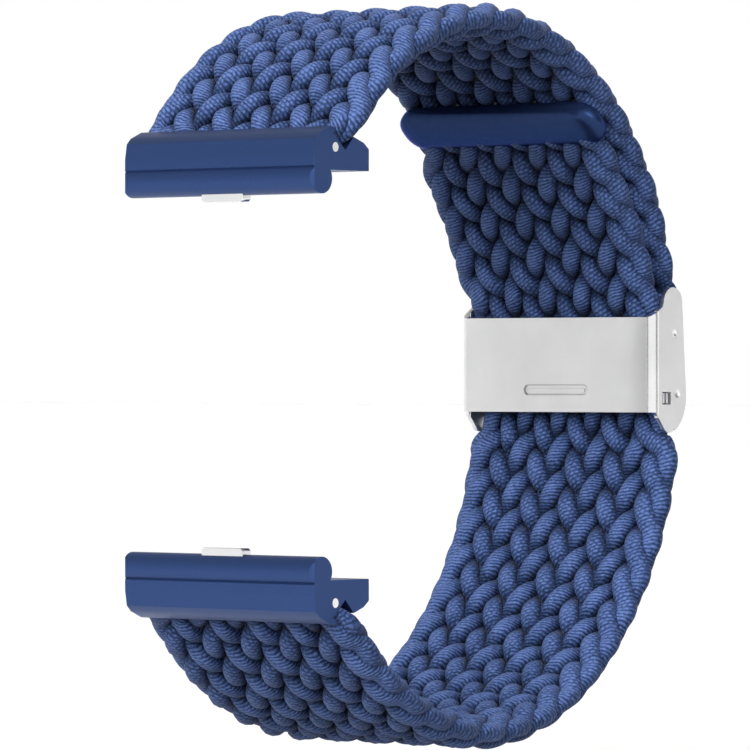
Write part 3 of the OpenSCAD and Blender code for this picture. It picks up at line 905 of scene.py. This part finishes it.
@dataclass
class Straps:
    """Both braided straps, in millimetres.

    Tables give a size by length or by height, and those by height hold beyond a depth.
    """

    loop: LoopShape = field(default_factory=LoopShape)
    mouth: float = 1.4
    clasp_side: float = 35.0
    back_side: float = 30.0
    full_t: float = 3.2
    full_half: float = 13.2
    loop_half: float = 13.1
    long_phase: float = -0.43
    short_phase: float = 0.60
    stretched: float = 0.89

    def long_half_width(self, run: np.ndarray, place: np.ndarray) -> np.ndarray:
        """Returns the long strap's half width: full in the loop, squeezed in the clasp."""
        table = [(-7.6, self.loop_half), (-5.9, 11.8), (-4.9, 11.6), (2.6, 11.6), (3.7, 11.8)]
        table += [(7.8, 11.8), (10.2, 12.3), (21, 12.3), (23, 11.8)]
        by_height = smooth_table(table, place[:, 1])
        width = np.where(place[:, 0] > self.clasp_side, by_height, self.loop_half)
        return np.minimum(width, self.lead_half_width(run))

    def lead_half_width(self, run: np.ndarray) -> np.ndarray:
        """Returns the half width of a strap where it comes out of its lug."""
        table = [(0, 11.2), (self.mouth, 11.6), (self.mouth + 2.2, self.full_half)]
        return smooth_table(table, run)

    def lead_thickness(self, run: np.ndarray) -> np.ndarray:
        """Returns the thickness of a strap where it comes out of its lug."""
        table = [(0, 2.1), (self.mouth + 0.6, 2.2), (self.mouth + 3.5, self.full_t)]
        return smooth_table(table, run)

    def long_drift(self, place: np.ndarray) -> np.ndarray:
        """Returns how far the long strap lies to the side, which its tail does a little."""
        table = [(2.6, 0.0), (3.7, -0.2), (7.8, -0.2), (10.4, -0.7), (20, -0.65), (23, 0.0)]
        return np.where(place[:, 0] > self.clasp_side, smooth_table(table, place[:, 1]), 0.0)

    def short_drift(self, place: np.ndarray) -> np.ndarray:
        """Returns how far the short strap lies to the side: nowhere."""
        return np.zeros(len(place))

    def long_lean(self, line: MiddleLine) -> np.ndarray:
        """Returns how far the long strap's middle lies outside its line."""
        depth, height = line.points[:, 0], line.points[:, 1]
        tail = [(-8, 0.28), (-4.5, 0.0), (4.5, 0.0), (8, -0.45), (19, -0.45), (23.4, -0.1)]
        near_lug = smooth_table([(10, 0.0), (26, 0.28)], depth)
        return np.where(depth > self.back_side, smooth_table(tail, height), near_lug)

    def long_thickness(self, run: np.ndarray, place: np.ndarray) -> np.ndarray:
        """Returns the long strap's thickness at each place."""
        full, end = self.full_t, float(run[-1])
        table = [(-8, full), (-4.5, 2.8), (-2, 2.35), (3.6, 2.4), (5.6, 2.7), (8, full)]
        thick = np.where(place[:, 0] > self.clasp_side, smooth_table(table, place[:, 1]), full)
        tail = smooth_table([(end - 6.5, full), (end - 3.2, 2.5), (end, 1.9)], run)
        return np.minimum(np.minimum(thick, self.lead_thickness(run)), tail)

    def short_half_width(self, run: np.ndarray, place: np.ndarray) -> np.ndarray:
        """Returns the short strap's half width at each place."""
        table = [(5, 11.6), (8.8, 11.6), (12, 12.0), (20, 12.6), (28, self.full_half)]
        by_height = smooth_table(table, place[:, 1])
        width = np.where(place[:, 0] > self.back_side, by_height, self.full_half)
        return np.minimum(width, self.lead_half_width(run))

    def short_thickness(self, run: np.ndarray, place: np.ndarray) -> np.ndarray:
        """Returns the short strap's thickness at each place: thinnest round the clasp's bar."""
        end = float(run[-1])
        table = [(end - 12.5, self.full_t), (end - 8.0, 2.0), (end - 5.0, 1.12), (end, 0.9)]
        return np.minimum(smooth_table(table, run), self.lead_thickness(run))

    def build(self, sweep: StrandSweep, finish: bpy.types.Material) -> None:
        """Makes both straps and puts them in place of their plain solids.

        Args:
            sweep: The tree that sweeps strands.
            finish: The strands' material.
        """
        long_line = MiddleLine(self.loop.long_strap(), -1)
        braid = FlatBraid(
            "lower_strap_braid",
            long_line.moved(self.long_lean(long_line)),
            self.long_half_width,
            self.long_thickness,
            self.long_drift,
            Lean.RIGHT,
            Face.INNER,
            self.long_phase,
        )
        piece = braid.build(sweep, finish)
        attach(piece, "long_strap")
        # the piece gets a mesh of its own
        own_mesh(piece)
        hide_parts("lower_strap")
        braid = FlatBraid(
            "upper_strap_braid",
            MiddleLine(self.loop.short_strap(), 1),
            self.short_half_width,
            self.short_thickness,
            self.short_drift,
            Lean.LEFT,
            Face.OUTER,
            self.short_phase,
            seed=11,
        )
        piece = braid.build(sweep, finish)
        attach(piece, "short_strap")
        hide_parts("upper_strap")


@dataclass
class MetalPart:
    """A metal part of the frame, copied with softened edges, in millimetres and degrees."""

    node: str
    body: str
    slot: str
    edge: float = 0.05
    weld: float = 0.002
    flat: float = 1.0
    angle: float = 32.0

    def copy(self) -> bpy.types.Object:
        """Returns a copy of the part in which each flat face is whole."""
        bm = bmesh.new()
        bm.from_mesh(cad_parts[self.node].data)
        bmesh.ops.remove_doubles(bm, verts=bm.verts, dist=self.weld * MM)
        parts = {"verts": bm.verts, "edges": bm.edges}
        flat = math.radians(self.flat)
        bmesh.ops.dissolve_limit(bm, angle_limit=flat, delimit={"NORMAL"}, **parts)
        return smooth_piece(self.node + "_soft", bm)

    def soften(self, piece: bpy.types.Object) -> None:
        """Rounds a piece's edges and keeps its flat faces flat to the eye."""
        bevel = piece.modifiers.new("edge", "BEVEL")
        bevel.width = self.edge * MM
        bevel.segments = 2
        bevel.limit_method = "ANGLE"
        bevel.angle_limit = math.radians(self.angle)
        bevel.use_clamp_overlap = True
        bevel.harden_normals = False
        weigh = piece.modifiers.new("flat faces", "WEIGHTED_NORMAL")
        weigh.mode = "FACE_AREA"
        weigh.weight = 100
        weigh.keep_sharp = False
        bpy.context.view_layer.update()
        graph = bpy.context.evaluated_depsgraph_get()
        final = bpy.data.meshes.new_from_object(piece.evaluated_get(graph), depsgraph=graph)
        piece.modifiers.clear()
        piece.data = final
        final.name = piece.name

    def build(self, finish: bpy.types.Material) -> None:
        """Makes the softened copy and puts it in place of the node.

        Args:
            finish: Its material.
        """
        piece = self.copy()
        self.soften(piece)
        piece.data.materials.clear()
        piece.data.materials.append(finish)
        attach(piece, self.body)
        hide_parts(self.node)
        LOG.info("%s: %d faces", piece.name, len(piece.data.polygons))


@dataclass
class TailCap:
    """The blue cap over the tail, a flattened bar with round ends. Sizes are in millimetres."""

    centre_r: float = 35.775
    angle: float = 47.6
    length: float = 25.4
    width: float = 5.0
    thick: float = 2.6
    tip: float = 0.06
    squareness: tuple[float, float] = (0.70, 0.74)
    taper: float = 0.8
    rings: int = 20
    sides: int = 40

    def stations(self) -> list[tuple[float, float]]:
        """Returns the rings' places along the cap, each with its share of the full width."""
        radius = self.width / 2
        turns = np.linspace(self.tip, math.pi / 2, self.rings)
        start = radius - self.length / 2
        near = [(start - radius * math.cos(a), math.sin(a)) for a in turns]
        return near + [(-x, share) for x, share in reversed(near)]

    def ring(self, share: float) -> list[tuple[float, float]]:
        """Returns a ring's points, along and out of the strap, at a share of the full width."""
        points = []
        for k in range(self.sides):
            a = 2 * math.pi * k / self.sides
            u = signed_power(math.cos(a), self.squareness[0]) * self.width / 2 * share
            v = signed_power(math.sin(a), self.squareness[1]) * self.thick / 2
            points.append((u, v * share**self.taper))
        return points

    def build(self, finish: bpy.types.Material) -> None:
        """Makes the cap and puts it in place of its plain solid.

        Args:
            finish: Its material.
        """
        turn = math.radians(self.angle)
        out = Vector((0, math.cos(turn), math.sin(turn)))
        run = Vector((0, -math.sin(turn), math.cos(turn)))
        middle = Vector((0, *LoopShape().centre)) + out * self.centre_r
        bm = bmesh.new()
        rows = []
        for x, share in self.stations():
            spots = [middle + run * u + out * v + Vector((x, 0, 0)) for u, v in self.ring(share)]
            rows.append([bm.verts.new(spot * MM) for spot in spots])
        for a, b in zip(rows, rows[1:]):
            for k in range(self.sides):
                n = (k + 1) % self.sides
                bm.faces.new((a[k], a[n], b[n], b[k]))
        bm.faces.new(rows[0])
        bm.faces.new(rows[-1])
        bmesh.ops.recalc_face_normals(bm, faces=bm.faces)
        piece = smooth_piece("tail_cap_shell", bm)
        piece.data.materials.append(finish)
        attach(piece, "long_strap")
        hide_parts("tail_cap")
        LOG.info("%s: %d faces", piece.name, len(piece.data.polygons))


@dataclass
class Fittings:
    """Every metal part of the clasp and the lugs."""

    def build(self) -> None:
        """Dresses the parts one by one."""
        satin = MetalFinish("satin_lid_steel", (0.74, 0.74, 0.74), 0.32, 0.10).build()
        bent = BentFinish("satin_clasp_steel", (0.74, 0.74, 0.74), 0.32, 0.10).build()
        bright = MetalFinish("polished_pin_steel", (0.84, 0.84, 0.85), 0.16, 0.06).build()
        plain = MetalFinish("rolled_steel", (0.62, 0.62, 0.64), 0.38, 0.14, (1.0, 1.0, 1.0)).build()
        tempered = MetalFinish("tempered_spring_steel", (0.38, 0.36, 0.34), 0.30, 0.10).build()
        blasted = BlastedFinish().build()
        for node, body, slot, finish, edge in (
            ("clasp_base", "clasp", "clasp_steel", bent, 0.06),
            ("clasp_lid", "lid", "lid_steel", satin, 0.05),
            ("grip_plate", "clasp", "grip_steel", plain, 0.03),
            ("upper_lug", "short_strap", "lug_blue", blasted, 0.08),
            ("lower_lug", "long_strap", "lug_blue", blasted, 0.08),
            ("upper_latch", "upper_latch", "pin_steel", bright, 0.05),
            ("lower_latch", "lower_latch", "pin_steel", bright, 0.05),
        ):
            MetalPart(node, body, slot, edge).build(finish)
        for node, finish in (
            ("strap_bar", bright),
            ("left_lid_pivot", bright),
            ("right_lid_pivot", bright),
            ("upper_lug_pin", bright),
            ("lower_lug_pin", bright),
            ("upper_root_clip", plain),
            ("lower_root_clip", plain),
            ("tail_pin", plain),
            ("upper_latch_spring", tempered),
            ("lower_latch_spring", tempered),
        ):
            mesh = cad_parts[node].data
            mesh.materials.clear()
            mesh.materials.append(finish)


@dataclass
class PhotoCamera:
    """Camera that stands where the photograph was taken from. Lengths are in millimetres."""

    azimuth: float = 40.26
    distance: float = 549.11
    left: float = 17.454
    origin_depth: float = -5.0
    lens: float = 280.43
    sensor: float = 36.0
    nearest: float = 10.0
    farthest: float = 20000.0

    def build(self) -> None:
        """Sets up the camera."""
        a = math.radians(self.azimuth)
        back = Vector((math.sin(a), -math.cos(a), 0))
        right = Vector((math.cos(a), math.sin(a), 0))
        spot = Vector((0, self.origin_depth, 0)) + back * self.distance + right * self.left
        data = bpy.data.cameras.new("photo_camera")
        data.sensor_width = self.sensor
        data.lens = self.lens
        data.clip_start = self.nearest * MM
        data.clip_end = self.farthest * MM
        camera = put("photo_camera", data)
        camera.location = spot * MM
        camera.rotation_euler = (math.pi / 2, 0, a)
        bpy.context.scene.camera = camera


@dataclass
class Studio:
    """Pale floor and soft lights, in metres and degrees."""

    floor_z: float = -0.0422
    size: float = 6.0
    backdrop: float = 1.0
    overhead: float = 0.40
    gloss_heights: tuple[float, float] = (0.12, 0.75)
    cards: tuple[tuple[float, float], ...] = ((-14.0, 13.0), (121.0, 14.0))
    card_shade: float = 0.94
    card_soft: float = 4.0
    ground: float = 0.47
    zenith: float = 0.52
    aim: tuple[float, float, float] = (0.0, 0.025, 0.0)
    sun: float = 5.2
    sun_spot: tuple[float, float, float] = (0.10, -0.56, 0.34)
    sun_spread: float = 60.0
    side: float = 2.6
    side_spot: tuple[float, float, float] = (0.60, -0.20, 0.35)
    side_size: float = 0.50

    def floor(self) -> None:
        """Lays the floor."""
        mesh = bpy.data.meshes.new("floor")
        turns = ((-1, -1), (1, -1), (1, 1), (-1, 1))
        corners = [(x * self.size, y * self.size, self.floor_z) for x, y in turns]
        mesh.from_pydata(corners, [], [(0, 1, 2, 3)])
        mesh.materials.append(FloorFinish().build())
        piece = put("floor", mesh)
        piece.visible_diffuse = False

    def light(self, name: str, kind: str, spot: tuple, power: float) -> bpy.types.Object:
        """Hangs a light that faces the band.

        Args:
            name: The light's name.
            kind: Its type.
            spot: Its place.
            power: Its power in watts, or a sun's in watts per square metre.

        Returns:
            The light.
        """
        data = bpy.data.lights.new(name, kind)
        data.energy = power
        lamp = put(name, data)
        lamp.location = spot
        away = Vector(self.aim) - Vector(spot)
        lamp.rotation_euler = away.to_track_quat("-Z", "Y").to_euler()
        return lamp

    def hang_cards(self, room: Nodes, way: bpy.types.bpy_prop_collection, level: Socket) -> Socket:
        """Hangs upright dark cards round the room, which only reflections show.

        Args:
            room: The world's tree.
            way: A direction's parts.
            level: The room's brightness without the cards.

        Returns:
            The room's brightness with them.
        """
        forward = room.math("MULTIPLY", way["Y"], -1.0)
        angle = room.math("DEGREES", room.math("ARCTAN2", way["X"], forward))
        for middle, half in self.cards:
            away = room.math("ABSOLUTE", room.math("SUBTRACT", angle, middle))
            edge = (half - self.card_soft, half + self.card_soft)
            card = room.remap(away, edge, (1 - self.card_shade, 1.0))
            level = room.math("MULTIPLY", level, card)
        return level

    def walls(self) -> None:
        """Makes the room: it looks white, and lights the band mostly from overhead."""
        world = bpy.data.worlds.new("pale_room")
        bpy.context.scene.world = world
        world.use_nodes = True
        room = Nodes(world.node_tree)
        sky = room.tree.nodes["Background"]
        sky.inputs["Color"].default_value = (1.0, 1.0, 1.0, 1.0)
        ray = room.add("ShaderNodeLightPath").outputs
        place = room.add("ShaderNodeTexCoord").outputs["Generated"]
        way = room.add("ShaderNodeSeparateXYZ", {"Vector": place}).outputs
        height = room.remap(way["Z"], (0.0, 1.0), (self.ground, self.zenith), eased=False)
        shades = (self.backdrop, self.overhead)
        gloss = room.remap(way["Z"], self.gloss_heights, shades, eased=False)
        feeds = {0: ray["Is Diffuse Ray"], 2: self.backdrop, 3: height}
        level = room.add("ShaderNodeMix", feeds).outputs[0]
        feeds = {0: ray["Is Glossy Ray"], 2: level, 3: self.hang_cards(room, way, gloss)}
        room.join(room.add("ShaderNodeMix", feeds).outputs[0], sky.inputs["Strength"])

    def build(self) -> None:
        """Sets up the floor, the room, an even and very soft light, and one at the side."""
        self.floor()
        self.walls()
        bpy.context.scene.view_settings.view_transform = "Standard"
        ceiling = self.light("ceiling", "SUN", self.sun_spot, self.sun)
        ceiling.data.angle = math.radians(self.sun_spread)
        ceiling.visible_glossy = False
        side = self.light("side", "AREA", self.side_spot, self.side)
        side.data.shape = "DISK"
        side.data.size = self.side_size


def main() -> None:
    """Builds the dressed band and its picture."""
    logging.basicConfig(level=logging.INFO, format="%(message)s")
    PhotoCamera().build()
    Studio().build()
    sweep = StrandSweep()
    Straps().build(sweep, BraidFinish().build())
    Fittings().build()
    TailCap().build(CapFinish().build())
    bpy.context.view_layer.update()


if __name__ == "__main__":
    main()
